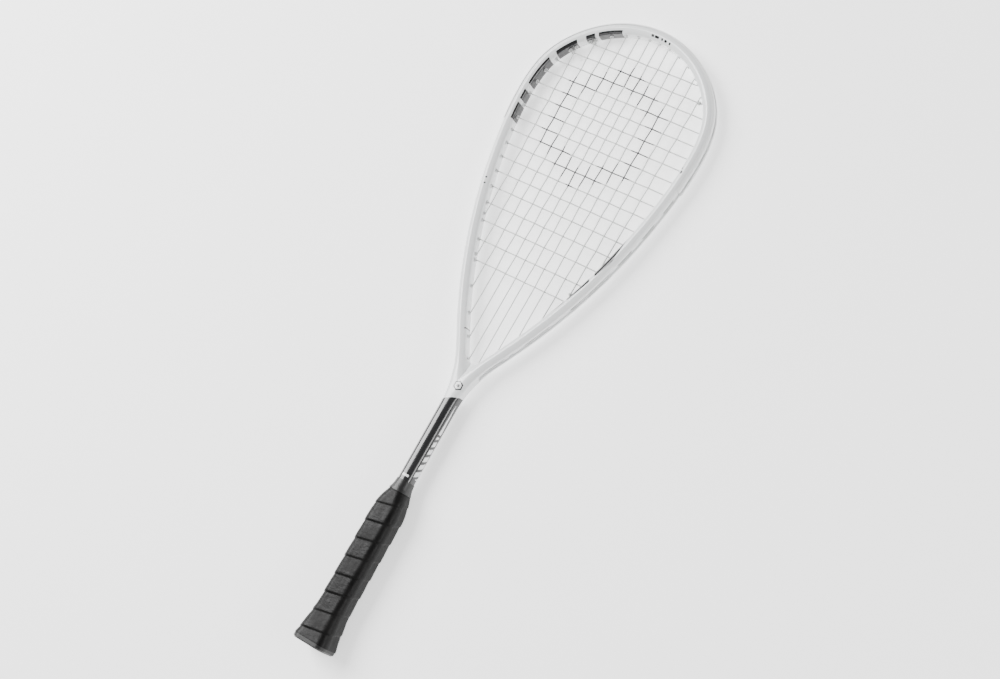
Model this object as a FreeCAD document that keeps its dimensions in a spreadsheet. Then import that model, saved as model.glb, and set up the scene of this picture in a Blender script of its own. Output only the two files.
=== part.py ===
"""Squash racket, lying flat: a one-piece hollow composite frame with its grommets, strings and handle.

The racket's long axis is +Y, from the centre of the butt's end face at the origin to the head.
+X is across the head and +Z is square to the string bed. Sizes are millimetres.
"""

import FreeCAD, Part

import math
import os

import Sketcher

Vector = FreeCAD.Vector
UP = Vector(0, 0, 1)

DIMENSIONS = {
    # frame: section of the hoop beam and of the shaft
    "beam_width": 10.5,
    "beam_depth": 18.0,
    "beam_round": 5.0,
    "wall": 0.9,
    "shaft_width": 16.8,
    "shaft_depth": 18.0,
    "shaft_round": 8.2,
    "shaft_wall": 1.1,
    "shaft_web": 1.2,
    "shaft_foot": 6.0,
    # frame: the beam's centre line, from the straight arm of the throat round to the crown
    "arm_angle": 30.2,
    "arm_start_across": 19.0,
    "arm_start_along": 320.28,
    "arm_length": 21.0,
    "lower_side_radius": 542.0,
    "lower_side_sweep": 21.8,
    "upper_side_radius": 350.0,
    "upper_side_sweep": 7.9,
    "cheek_radius": 130.0,
    "cheek_sweep": 11.7,
    "shoulder_radius": 74.0,
    "shoulder_sweep": 24.0,
    "throat_blend": 100.0,
    "throat_corner": 11.0,
    "neck_start": 262.0,
    "neck_end": 286.0,
    "neck_cover": 0.12,
    # string groove round the outside of the hoop, and the plastic that lines it
    "groove_depth": 2.4,
    "groove_width": 6.0,
    "strip_clearance": 0.05,
    "strip_floor": 0.8,
    "channel_width": 4.0,
    "guard_thickness": 1.3,
    "guard_width": 15.0,
    "guard_wrap": 3.0,
    "guard_round": 3.5,
    "barrel_radius": 1.95,
    "bore_radius": 1.45,
    "hole_radius": 2.0,
    "barrel_stand": 1.2,
    # strings
    "string_radius": 0.625,
    "string_lane": 0.7,
    "weave_height": 0.68,
    "weave_bend": 6.0,
    "hole_bend": 1.5,
    "knot_distance": 2.2,
    "knot_pitch": 0.95,
    "knot_gap": 0.05,
    "main_first": 5.65,
    "main_gap": 11.3,
    "main_gap_growth": 0.6,
    "main_fan": 0.0009,
    "fan_centre": 480.0,
    "cross_first": 402.7,
    "cross_gap": 13.67,
    "cross_gap_growth": 0.065,
    "cross_gap_least": 11.0,
    # handle
    "shell_start": 7.0,
    "shell_end": 160.0,
    "shell_gap": 0.2,
    "tape_thickness": 1.9,
    "tape_start": 5.0,
    "tape_end": 171.0,
    "cap_end": 31.0,
    "cap_floor": 3.0,
    "butt_bevel": 1.6,
    "finish_start": 168.2,
    "finish_end": 174.0,
    "finish_thickness": 0.25,
    "collar_start": 167.5,
    "collar_end": 179.5,
    "collar_wall": 0.65,
    "collar_lip": 0.4,
    "collar_clearance": 0.15,
    "staple_wire": 0.6,
    "staple_crown": 10.0,
    "staple_leg": 5.0,
    "staple_place": 20.0,
}

# Outside of the wound grip: distance from the butt, width, depth and corner radius.
GRIP_SECTIONS = [
    (5.0, 38.5, 33.0, 9.0),
    (14.0, 35.5, 30.5, 9.0),
    (24.0, 33.3, 29.0, 8.7),
    (31.0, 31.4, 27.7, 8.3),
    (38.0, 29.8, 26.3, 8.0),
    (46.0, 29.5, 26.0, 8.0),
    (142.0, 29.5, 26.0, 8.0),
    (150.0, 28.6, 25.4, 8.2),
    (158.0, 25.8, 24.0, 8.6),
    (165.0, 22.2, 21.8, 8.9),
    (171.0, 18.4, 19.6, 9.0),
]
GRIP_STRAIGHT = (46.0, 142.0)
MAINS_EACH_SIDE = 6
CROSSES = 17

# Stations, measured along the beam's centre line from the start of the straight arm.
THROAT_STATION = -22.0
CAVITY_STATION = -7.0
THROAT_STRIP_END = 16.0
SIDE_STRIP_START = 20.0
SIDE_STRIP_END = 239.0
GUARD_START = 240.0

# How far a string runs straight out of its barrel before it bends, inside the hoop.
MOUTH_GAP = 0.9
# A cutting tool runs past what it cuts by one of these, and never ends flush with it.
SMALL_OVERRUN = 2.0
OVERRUN = 5.0
LONG_OVERRUN = 10.0
# Half the width of the box that splits the shells, more than half the handle's width.
SHELL_BOX = 30.0
# A drill for a string hole starts under the outer face and runs out past the inner one.
DRILL_START = 0.5
DRILL_OVERRUN = 6.0
# Mains and crosses closer to a mouth than this don't meet, or meet with the main on top.
LEAST_RUN = 1.5
PLAIN_WEAVE = 8.0

# Where a main and a cross meet the shoulder almost at one spot, their holes are moved apart.
HOLE_SHIFTS = {"main 5 head": 1.5, "cross 15": -1.5, "main 4 head": 1.5, "cross 16": -1.5}

document = FreeCAD.newDocument("squash_racket")
sheet = document.addObject("Spreadsheet::Sheet", "dimensions")


def fill_sheet():
    """Write one row for each driving dimension: its name, and its value under that alias."""
    for row, (name, value) in enumerate(DIMENSIONS.items(), start=1):
        sheet.set(f"A{row}", name)
        sheet.set(f"B{row}", str(value))
        sheet.setAlias(f"B{row}", name)
    document.recompute()


fill_sheet()


def size(name):
    """The sheet's value of one dimension."""
    return float(sheet.get(name))


def cell(name):
    """The expression that reads one dimension."""
    return f"<<dimensions>>.{name}"


# ---------------------------------------------------------------- the beam's centre line

def beam_runs():
    """The right half of the centre line: one straight arm, then five arcs that turn left to the crown.

    Each run is (start x, start y, heading from +Y, radius or 0, length, station at its start).
    """
    heading = math.radians(size("arm_angle"))
    x = size("arm_start_across")
    y = size("arm_start_along")
    back = -THROAT_STATION
    length = size("arm_length")
    runs = [
        (
            x - back * math.sin(heading),
            y - back * math.cos(heading),
            heading,
            0.0,
            back + length,
            THROAT_STATION,
        )
    ]
    x += length * math.sin(heading)
    y += length * math.cos(heading)
    station = length
    for part_name in ("lower_side", "upper_side", "cheek", "shoulder"):
        radius = size(part_name + "_radius")
        sweep = math.radians(size(part_name + "_sweep"))
        runs.append((x, y, heading, radius, radius * sweep, station))
        x += radius * (math.cos(heading - sweep) - math.cos(heading))
        y += radius * (math.sin(heading) - math.sin(heading - sweep))
        heading -= sweep
        station += radius * sweep
    crown_radius = x / math.cos(heading)
    runs.append((x, y, heading, crown_radius, crown_radius * (heading + math.pi / 2), station))
    return runs


RUNS = beam_runs()
CROWN_STATION = RUNS[-1][5] + RUNS[-1][4]
HALF_BEAM = size("beam_width") / 2


def run_at(station):
    """The run that holds a station."""
    return max((run for run in RUNS if run[5] <= station + 1e-9), key=lambda run: run[5])


def heading_at(station):
    """The centre line's direction at a station, in radians clockwise from +Y."""
    run = run_at(station)
    if run[3] == 0:
        return run[2]
    return run[2] - (station - run[5]) / run[3]


def beam_point(station, inset, side=1, height=0.0):
    """A point at a station, inset from the beam's outer face towards the strings."""
    x, y, start, radius, _, first = run_at(station)
    heading = heading_at(station)
    if radius == 0:
        x += (station - first) * math.sin(start)
        y += (station - first) * math.cos(start)
    else:
        x += radius * (math.cos(heading) - math.cos(start))
        y += radius * (math.sin(start) - math.sin(heading))
    out = HALF_BEAM - inset
    return Vector(side * (x + out * math.cos(heading)), y - out * math.sin(heading), height)


def inward(station, side=1):
    """The unit vector from the beam towards the strings."""
    heading = heading_at(station)
    return Vector(-side * math.cos(heading), math.sin(heading), 0)


def offset_edges(inset, first, last, side=1):
    """The curve at one inset, from station first up to station last, as (edge, radius expression)."""
    edges = []
    names = [None, "lower_side", "upper_side", "cheek", "shoulder", None]
    for run, name in zip(RUNS, names):
        low = max(first, run[5])
        high = min(last, run[5] + run[4])
        if high - low < 1e-6:
            continue
        start = beam_point(low, inset, side)
        end = beam_point(high, inset, side)
        if run[3] == 0:
            edges.append((Part.LineSegment(start, end), None))
            continue
        middle = beam_point((low + high) / 2, inset, side)
        bound = f"{cell(name + '_radius')} + {HALF_BEAM - inset}" if name else None
        edges.append((Part.Arc(start, middle, end), bound))
    return edges


def reversed_edges(edges):
    """The same curve, walked the other way."""
    turned = []
    for edge, bound in reversed(edges):
        if isinstance(edge, Part.LineSegment):
            turned.append((Part.LineSegment(edge.EndPoint, edge.StartPoint), bound))
        else:
            middle = edge.value((edge.FirstParameter + edge.LastParameter) / 2)
            turned.append((Part.Arc(edge.EndPoint, middle, edge.StartPoint), bound))
    return turned


# ---------------------------------------------------------------- sketches and bodies

def new_body(name):
    """A PartDesign body with its label."""
    body = document.addObject("PartDesign::Body", name)
    body.Label = name
    return body


def origin_plane(body, role):
    """One of the body's own origin planes."""
    return next(plane for plane in body.Origin.OriginFeatures if plane.Role == role)


def new_sketch(body, name, role, along=0.0):
    """A sketch on one of the body's origin planes, moved along +Y where it is an XZ sketch."""
    sketch = body.newObject("Sketcher::SketchObject", name)
    sketch.AttachmentSupport = [(origin_plane(body, role), "")]
    sketch.MapMode = "FlatFace"
    if along:
        sketch.AttachmentOffset = FreeCAD.Placement(Vector(0, 0, -along), FreeCAD.Rotation())
    return sketch


def endpoint_index(edge, point):
    """1 if the sketch edge starts nearer to the point, or 2 if it ends nearer."""
    to_start = edge.StartPoint.distanceToPoint(point)
    to_end = edge.EndPoint.distanceToPoint(point)
    return 1 if to_start < to_end else 2


def counterclockwise(edge):
    """The edge as a sketch holds it: every arc runs counterclockwise."""
    middle = edge.value((edge.FirstParameter + edge.LastParameter) / 2)
    turn = (middle - edge.StartPoint).cross(edge.EndPoint - middle).z
    if isinstance(edge, Part.LineSegment) or turn > 0:
        return edge
    return Part.Arc(edge.EndPoint, middle, edge.StartPoint)


def draw_loop(sketch, edges):
    """Add a closed loop of edges, joined end to end, with every named radius bound to the sheet."""
    first = sketch.GeometryCount
    sketch.addGeometry([counterclockwise(edge) for edge, _ in edges], False)
    drawn = sketch.Geometry[first:]
    joints = []
    for index, (edge, _) in enumerate(edges):
        following = (index + 1) % len(edges)
        here = endpoint_index(drawn[index], edge.EndPoint)
        there = endpoint_index(drawn[following], edge.EndPoint)
        joints.append(
            Sketcher.Constraint("Coincident", first + index, here, first + following, there)
        )
    sketch.addConstraint(joints)
    for index, (_, bound) in enumerate(edges):
        if bound:
            radius = Sketcher.Constraint("Radius", first + index, drawn[index].Radius)
            number = sketch.addConstraint(radius)
            sketch.setExpression(f"Constraints[{number}]", bound)


def pad_both_ways(body, sketch, thickness):
    """Pad a sketch on the XY plane equally up and down, by an expression."""
    pad = body.newObject("PartDesign::Pad", body.Name + "_pad")
    pad.Profile = sketch
    pad.SideType = "Symmetric"
    pad.setExpression("Length", thickness)
    document.recompute()
    return pad


def round_plan_edges(body, pad, radius, edge_filter=None):
    """Fillet the edges that lie in the pad's top and bottom faces."""
    top = pad.Shape.BoundBox.ZMax
    names = []
    for number, edge in enumerate(pad.Shape.Edges, start=1):
        box = edge.BoundBox
        flat = box.ZMax - box.ZMin < 1e-6
        if flat and abs(abs(box.ZMax) - top) < 1e-6 and (edge_filter is None or edge_filter(edge)):
            names.append(f"Edge{number}")
    fillet = body.newObject("PartDesign::Fillet", body.Name + "_round")
    fillet.Base = (pad, names)
    fillet.setExpression("Radius", radius)
    document.recompute()
    return fillet


def band_edges(outer_inset, inner_inset, first, last, both_sides):
    """A closed band along the beam: between two insets, from one station to another.

    With both_sides it runs over the crown from a station on the right to the same one on the left.
    """
    def curve(inset):
        right = offset_edges(inset, first, last)
        if not both_sides:
            return right
        return right + reversed_edges(offset_edges(inset, first, last, side=-1))

    outer = curve(outer_inset)
    inner = curve(inner_inset)
    first_end = Part.LineSegment(outer[-1][0].EndPoint, inner[-1][0].EndPoint)
    last_end = Part.LineSegment(inner[0][0].StartPoint, outer[0][0].StartPoint)
    return outer + [(first_end, None)] + reversed_edges(inner) + [(last_end, None)]


def mirrored_edges(edges):
    """The same loop on the other side of the racket."""
    turned = []
    for edge, bound in edges:
        ends = [Vector(-p.x, p.y, p.z) for p in (edge.StartPoint, edge.EndPoint)]
        if isinstance(edge, Part.LineSegment):
            turned.append((Part.LineSegment(*ends), bound))
        else:
            middle = edge.value((edge.FirstParameter + edge.LastParameter) / 2)
            turned.append((Part.Arc(ends[0], Vector(-middle.x, middle.y, 0), ends[1]), bound))
    return turned


def beam_band(name, edges, thickness):
    """A body that is one band along the beam, padded up and down."""
    body = new_body(name)
    sketch = new_sketch(body, name + "_sketch", "XY_Plane")
    draw_loop(sketch, edges)
    pad_both_ways(body, sketch, thickness)
    return body


def rounded_rectangle(sketch, width, depth, radius, bindings):
    """A centred rectangle with round corners; bindings are expressions for its three sizes."""
    half_w = width / 2 - radius
    half_d = depth / 2 - radius
    corners = [(half_w, half_d), (-half_w, half_d), (-half_w, -half_d), (half_w, -half_d)]
    arcs = []
    for index, (x, y) in enumerate(corners):
        start = index * math.pi / 2
        circle = Part.Circle(Vector(x, y, 0), UP, radius)
        arcs.append(sketch.addGeometry(Part.ArcOfCircle(circle, start, start + math.pi / 2), False))
    for index in range(4):
        following = (index + 1) % 4
        start = sketch.getPoint(arcs[index], 2)
        end = sketch.getPoint(arcs[following], 1)
        line = sketch.addGeometry(Part.LineSegment(start, end), False)
        sketch.addConstraint(Sketcher.Constraint("Tangent", arcs[index], 2, line, 1))
        sketch.addConstraint(Sketcher.Constraint("Tangent", line, 2, arcs[following], 1))
        if index:
            sketch.addConstraint(Sketcher.Constraint("Equal", arcs[0], arcs[index]))
    sketch.addConstraint(Sketcher.Constraint("Horizontal", arcs[0] + 4))
    sketch.addConstraint(Sketcher.Constraint("Symmetric", arcs[0], 3, arcs[2], 3, -1, 1))
    numbers = [
        sketch.addConstraint(Sketcher.Constraint("Radius", arcs[0], radius)),
        sketch.addConstraint(Sketcher.Constraint("DistanceX", arcs[1], 3, arcs[0], 3, 2 * half_w)),
        sketch.addConstraint(Sketcher.Constraint("DistanceY", arcs[3], 3, arcs[0], 3, 2 * half_d)),
    ]
    for number, binding in zip(numbers, bindings):
        if binding:
            sketch.setExpression(f"Constraints[{number}]", binding)


def bar_along(name, start, end, width, depth, radius, bindings):
    """A rounded bar along +Y between two distances from the butt."""
    body = new_body(name)
    sketch = new_sketch(body, name + "_sketch", "XZ_Plane", start)
    rounded_rectangle(sketch, width, depth, radius, bindings)
    pad = body.newObject("PartDesign::Pad", name + "_pad")
    pad.Profile = sketch
    pad.Reversed = True
    pad.Length = end - start
    document.recompute()
    return body


def loft_along(name, sections, ruled=False):
    """A loft along +Y through rounded rectangles (distance, width, depth, radius)."""
    body = new_body(name)
    sketches = []
    for index, (along, width, depth, radius) in enumerate(sections):
        sketch = new_sketch(body, f"{name}_section_{index}", "XZ_Plane", along)
        rounded_rectangle(sketch, width, depth, radius, [None, None, None])
        sketches.append(sketch)
    document.recompute()
    loft = body.newObject("PartDesign::AdditiveLoft", name + "_loft")
    loft.Profile = sketches[0]
    loft.Sections = sketches[1:]
    loft.Ruled = ruled
    document.recompute()
    return body


def solid_feature(name, shape):
    """A plain feature that holds a shape made from the sheet's sizes."""
    feature = document.addObject("Part::Feature", name)
    feature.Label = name
    feature.Shape = shape
    return feature


def fused(name, objects):
    """A fusion of document objects."""
    fusion = document.addObject("Part::MultiFuse", name)
    fusion.Shapes = objects
    fusion.Label = name
    document.recompute()
    return fusion


def cut(name, base, tool):
    """One document object cut by another."""
    result = document.addObject("Part::Cut", name)
    result.Base = base
    result.Tool = tool
    result.Label = name
    document.recompute()
    return result


# ---------------------------------------------------------------- frame

def hoop_outline():
    """The outer edge of the hoop, through the throat to the top of the neck, as one closed loop."""
    blend = size("throat_blend")
    neck_end = size("neck_end")
    half_shaft = size("shaft_width") / 2
    side = offset_edges(0.0, 0.0, CROWN_STATION)
    heading = math.radians(size("arm_angle"))
    arm_start = beam_point(0.0, 0.0)
    corner = arm_start - Vector(math.sin(heading), math.cos(heading), 0) * (
        (arm_start.x - half_shaft) / math.sin(heading)
    )
    tangent = blend * math.tan(heading / 2)
    centre = Vector(half_shaft + blend, corner.y - tangent, 0)

    def on_blend(turn):
        return centre + Vector(-math.cos(turn), math.sin(turn), 0) * blend

    foot_turn = math.asin((neck_end - centre.y) / blend)
    foot = on_blend(foot_turn)
    join = on_blend(heading)
    right = [
        (Part.Arc(foot, on_blend((foot_turn + heading) / 2), join), cell("throat_blend")),
        (Part.LineSegment(join, arm_start), None),
    ] + side
    base = Part.LineSegment(Vector(-foot.x, foot.y, 0), foot)
    return right + reversed_edges(mirrored_edges(right)) + [(base, None)], foot.x


def hoop_hole():
    """The edge of the strung opening: both inner walls, joined by the round throat corner."""
    radius = size("throat_corner")
    heading = math.radians(size("arm_angle"))
    inset = size("beam_width")
    wall = beam_point(0.0, inset)
    apex_y = wall.y - wall.x / math.tan(heading)
    centre = Vector(0, apex_y + radius / math.sin(heading), 0)
    join = centre + Vector(math.cos(heading), -math.sin(heading), 0) * radius
    lowest = centre - Vector(0, radius, 0)
    opposite = Vector(-join.x, join.y, 0)
    right = [(Part.LineSegment(join, wall), None)] + offset_edges(inset, 0.0, CROWN_STATION)
    corner = (Part.Arc(opposite, lowest, join), cell("throat_corner"))
    return right + reversed_edges(mirrored_edges(right)) + [corner]


def hoop_blank(foot_edges, depth, radius, name):
    """The hoop and throat as a rounded plate with its opening."""
    body = new_body(name)
    sketch = new_sketch(body, name + "_sketch", "XY_Plane")
    draw_loop(sketch, foot_edges)
    draw_loop(sketch, hoop_hole())
    pad = pad_both_ways(body, sketch, depth)
    foot_y = size("neck_end")
    round_plan_edges(body, pad, radius, lambda edge: edge.BoundBox.YMax > foot_y + 1e-3)
    return body


def neck_sections(foot_half):
    """The neck's sections, from the rounder shaft up to where it just covers the foot of the hoop."""
    start = size("neck_start")
    end = size("neck_end")
    blend = size("throat_blend")
    turn_start = end - math.sqrt(blend**2 - (blend - (foot_half - size("shaft_width") / 2)) ** 2)
    sections = []
    for share in (0.0, 0.33, 0.67, 1.0):
        along = start + share * (end - start)
        rise = max(0.0, along - turn_start)
        half = size("shaft_width") / 2 + blend - math.sqrt(blend**2 - rise**2)
        radius = size("shaft_round") + share * (size("beam_round") - size("shaft_round"))
        cover = share * size("neck_cover")
        sections.append((along, 2 * half + cover, size("shaft_depth") + cover, radius))
    return sections


def hole_list():
    """Every string hole: name -> station. The same stations serve both sides."""
    stations = {}
    reach = size("beam_width") + size("barrel_stand") + MOUTH_GAP

    def solve(value, low, high):
        for _ in range(60):
            middle = (low + high) / 2
            if (value(low) < 0) == (value(middle) < 0):
                low = middle
            else:
                high = middle
        return (low + high) / 2

    widest = sum(run[4] for run in RUNS[:3]) + THROAT_STATION + RUNS[3][4] / 2
    for index in range(MAINS_EACH_SIDE):
        def beyond(station, index=index):
            point = beam_point(station, reach)
            return point.x - main_offset(index, point.y)

        stations[f"main {index} foot"] = solve(beyond, -20.0, widest)
        stations[f"main {index} head"] = solve(beyond, widest, CROWN_STATION)
    for index, along in enumerate(cross_rows()):
        stations[f"cross {index}"] = solve(
            lambda station, along=along: beam_point(station, reach).y - along, -20.0, CROWN_STATION
        )
    for name, shift in HOLE_SHIFTS.items():
        stations[name] += shift
    return stations


def main_offset(index, along):
    """How far a main lies from the long axis: the gaps grow and the outer mains fan outwards."""
    at_centre = size("main_first") + index * size("main_gap")
    at_centre += size("main_gap_growth") * index * (index + 1) / 2
    return at_centre + size("main_fan") * index**2 * (along - size("fan_centre"))


def cross_rows():
    """The distance of each cross from the butt, lowest first; the gaps are least near the widest part."""
    rows = [size("cross_first")]
    for index in range(1, CROSSES):
        growth = size("cross_gap_growth") * (index - size("cross_gap_least")) ** 2
        rows.append(rows[-1] + size("cross_gap") + growth)
    return rows


HOLES = hole_list()


def pin_at(station, side, radius, first_inset, last_inset):
    """A round pin across the beam at a station, between two insets."""
    start = beam_point(station, first_inset, side)
    return Part.makeCylinder(radius, last_inset - first_inset, start, inward(station, side))


def make_frame():
    """The one-piece frame: hollow hoop, solid throat and twin-bore shaft, drilled for the strings."""
    outline, foot_half = hoop_outline()
    hoop = hoop_blank(outline, cell("beam_depth"), cell("beam_round"), "hoop_blank")
    neck = loft_along("neck_blank", neck_sections(foot_half))
    shaft_cells = [cell("shaft_round"), None, None]
    shaft = bar_along(
        "shaft_blank",
        size("shaft_foot"),
        size("neck_start"),
        size("shaft_width"),
        size("shaft_depth"),
        size("shaft_round"),
        shaft_cells,
    )
    blank = fused("frame_blank", [hoop, neck, shaft])
    hollow = frame_hollow()
    hollowed = cut("frame_shell", blank, hollow)
    liner_edges = band_edges(0.3, size("groove_depth") + size("wall"), -4.0, CROWN_STATION, True)
    liner = beam_band("groove_wall", liner_edges, f"{cell('groove_width')} + 2 * {cell('wall')}")
    lined = fused("frame_lined", [hollowed, liner])
    groove_edges = band_edges(-SMALL_OVERRUN, size("groove_depth"), THROAT_STATION, CROWN_STATION, True)
    groove = beam_band("string_groove", groove_edges, cell("groove_width"))
    grooved = cut("frame_grooved", lined, groove)
    holes = [
        pin_at(station, side, size("hole_radius"), DRILL_START, size("beam_width") + DRILL_OVERRUN)
        for station in HOLES.values()
        for side in (-1, 1)
    ]
    drills = solid_feature("string_holes", Part.makeCompound(holes))
    return cut("frame", grooved, drills)


def frame_hollow():
    """The air inside the frame: round the hoop, and two bores up the shaft with a web between them."""
    wall = size("wall")
    edges = band_edges(wall, size("beam_width") - wall, CAVITY_STATION, CROWN_STATION, True)
    body = new_body("hoop_hollow")
    sketch = new_sketch(body, "hoop_hollow_sketch", "XY_Plane")
    draw_loop(sketch, edges)
    pad = pad_both_ways(body, sketch, f"{cell('beam_depth')} - 2 * {cell('wall')}")
    round_plan_edges(
        body, pad, f"{cell('beam_round')} - {cell('wall')}", lambda edge: edge.Length > 9.0
    )
    shaft_wall = size("shaft_wall")
    bore = bar_along(
        "shaft_bore",
        size("shaft_foot") - SMALL_OVERRUN,
        size("neck_end") - 3.0,
        size("shaft_width") - 2 * shaft_wall,
        size("shaft_depth") - 2 * shaft_wall,
        size("shaft_round") - shaft_wall,
        [f"{cell('shaft_round')} - {cell('shaft_wall')}", None, None],
    )
    web = document.addObject("Part::Box", "shaft_web")
    web.setExpression("Length", cell("shaft_web"))
    web.Width = size("neck_end")
    web.setExpression("Height", cell("shaft_depth"))
    web.Placement.Base = Vector(-size("shaft_web") / 2, 0, -size("shaft_depth") / 2)
    bores = cut("shaft_bores", bore, web)
    return fused("frame_hollow", [body, bores])


# ---------------------------------------------------------------- grommets and head guard

def holes_between(first, last):
    """The stations of the string holes between two stations."""
    return [station for station in HOLES.values() if first < station < last]


def barrels(name, stations, sides, radius, first_inset, last_inset):
    """Round pins through the beam, one for each hole, as a feature."""
    pins = [
        pin_at(station, side, radius, first_inset, last_inset)
        for station in stations
        for side in sides
    ]
    return solid_feature(name, Part.makeCompound(pins))


def with_barrels(name, strip, stations, sides):
    """A moulded strip with a hollow barrel through the beam at every hole."""
    start = size("groove_depth") - size("strip_clearance") - size("strip_floor") / 2
    far_end = size("beam_width") + size("barrel_stand")
    tubes = barrels(name + "_barrels", stations, sides, size("barrel_radius"), start, far_end)
    solid = fused(name + "_solid", [strip, tubes])
    bores = barrels(name + "_bores", stations, sides, size("bore_radius"), -1.0, far_end + 1.0)
    return cut(name, solid, bores)


def make_strip(name, side, first, last):
    """A grommet strip: a thin floor along the groove, with one barrel through the beam at each hole."""
    bottom = size("groove_depth") - size("strip_clearance")
    edges = band_edges(bottom - size("strip_floor"), bottom, first, last, False)
    if side < 0:
        edges = mirrored_edges(edges)
    floor_width = f"{cell('groove_width')} - 2 * {cell('strip_clearance')}"
    floor = beam_band(name + "_floor", edges, floor_width)
    return with_barrels(name, floor, holes_between(first, last), [side])


def make_head_guard():
    """The head guard: a bumper that wraps the beam's outside, with a string channel and barrels."""
    clearance = size("strip_clearance")
    thickness = size("guard_thickness")
    bottom = size("groove_depth") - clearance
    shell = new_body("guard_shell")
    sketch = new_sketch(shell, "guard_shell_sketch", "XY_Plane")
    draw_loop(sketch, band_edges(-thickness, size("guard_wrap"), GUARD_START, CROWN_STATION, True))
    pad = pad_both_ways(shell, sketch, cell("guard_width"))
    outer_radii = [run[3] + HALF_BEAM + thickness for run in RUNS[2:]]

    def outside(edge):
        radius = getattr(edge.Curve, "Radius", 0.0)
        return any(abs(radius - outer) < 0.01 for outer in outer_radii)

    round_plan_edges(shell, pad, cell("guard_round"), outside)
    seat = new_body("guard_seat")
    seat_sketch = new_sketch(seat, "guard_seat_sketch", "XY_Plane")
    seat_edges = band_edges(-clearance, size("beam_width"), GUARD_START - OVERRUN, CROWN_STATION, True)
    draw_loop(seat_sketch, seat_edges)
    seat_depth = f"{cell('beam_depth')} + 2 * {cell('strip_clearance')}"
    seat_pad = pad_both_ways(seat, seat_sketch, seat_depth)
    round_plan_edges(seat, seat_pad, cell("beam_round"), lambda edge: edge.Length > 12.0)
    wrapped = cut("guard_wrapped", shell, seat)
    key_edges = band_edges(-thickness / 2, bottom, GUARD_START, CROWN_STATION, True)
    key_width = f"{cell('groove_width')} - 2 * {cell('strip_clearance')}"
    key = beam_band("guard_key", key_edges, key_width)
    keyed = fused("guard_keyed", [wrapped, key])
    floor_top = bottom - size("strip_floor")
    channel_edges = band_edges(-3.0, floor_top, GUARD_START - 1.0, CROWN_STATION, True)
    channel = beam_band("guard_channel", channel_edges, cell("channel_width"))
    channelled = cut("guard_channelled", keyed, channel)
    return with_barrels("head_guard", channelled, holes_between(GUARD_START, CROWN_STATION), [-1, 1])


# ---------------------------------------------------------------- strings

STRING_INSET = 0.8
CHANNEL_STEP = 6.0
CHANNEL_BEND = 40.0


def mouth(name, side, height):
    """Where a string bends as it leaves the barrel of a hole inside the hoop."""
    inset = size("beam_width") + size("barrel_stand") + MOUTH_GAP
    return beam_point(HOLES[name], inset, side, height)


def corner(name, side, height):
    """Where a string bends as it leaves the barrel of a hole in the outer channel."""
    return beam_point(HOLES[name], STRING_INSET, side, height)


def channel_points(first, last, side, height):
    """Points of a string that follows the channel between two holes."""
    count = max(1, math.ceil(abs(last - first) / CHANNEL_STEP))
    return [
        beam_point(first + (last - first) * step / count, STRING_INSET, side, height)
        for step in range(1, count)
    ]


def main_line(index, side):
    """The two ends of a main's straight run, foot first, at the lane height of zero."""
    return mouth(f"main {index} foot", side, 0.0), mouth(f"main {index} head", side, 0.0)


def crossing(index, side, row):
    """Where a main meets a cross, or None where they don't meet: (point, whether the main is on top)."""
    foot, head = main_line(index, side)
    end = mouth(f"cross {row}", side, 0.0)
    if not foot.y + LEAST_RUN < end.y < head.y - LEAST_RUN:
        return None
    across = foot.x + (head.x - foot.x) * (end.y - foot.y) / (head.y - foot.y)
    if abs(across) > abs(end.x) - LEAST_RUN:
        return None
    column = MAINS_EACH_SIDE + index if side > 0 else MAINS_EACH_SIDE - 1 - index
    near_frame = min(end.y - foot.y, head.y - end.y, abs(end.x) - abs(across)) < PLAIN_WEAVE
    on_top = near_frame or (column + row) % 2 == 0
    return Vector(across, end.y, 0), on_top


def woven_main(index, side, downwards):
    """The bends of one main's run, from one mouth to the other."""
    lane = size("string_lane")
    foot, head = main_line(index, side)
    points = [(Vector(foot.x, foot.y, lane), size("hole_bend"))]
    for row in range(CROSSES):
        met = crossing(index, side, row)
        if met:
            height = size("weave_height") * (1 if met[1] else -1)
            points.append((met[0] + Vector(0, 0, height), size("weave_bend")))
    points.append((Vector(head.x, head.y, lane), size("hole_bend")))
    return points[::-1] if downwards else points


def woven_cross(row, rightwards):
    """The bends of one cross's run, from one mouth to the other."""
    lane = -size("string_lane")
    ends = [mouth(f"cross {row}", side, lane) for side in (-1, 1)]
    points = [(ends[0], size("hole_bend"))]
    columns = [(index, -1) for index in reversed(range(MAINS_EACH_SIDE))]
    columns += [(index, 1) for index in range(MAINS_EACH_SIDE)]
    for index, side in columns:
        met = crossing(index, side, row)
        if met:
            height = size("weave_height") * (-1 if met[1] else 1)
            points.append((met[0] + Vector(0, 0, height), size("weave_bend")))
    points.append((ends[1], size("hole_bend")))
    return points if rightwards else points[::-1]


def outside_link(first, last, side, height):
    """The bends of a string that goes out of one hole, along the channel and into another."""
    points = [(corner(first, side, height), size("hole_bend"))]
    for point in channel_points(HOLES[first], HOLES[last], side, height):
        points.append((point, CHANNEL_BEND))
    points.append((corner(last, side, height), size("hole_bend")))
    return points


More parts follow.
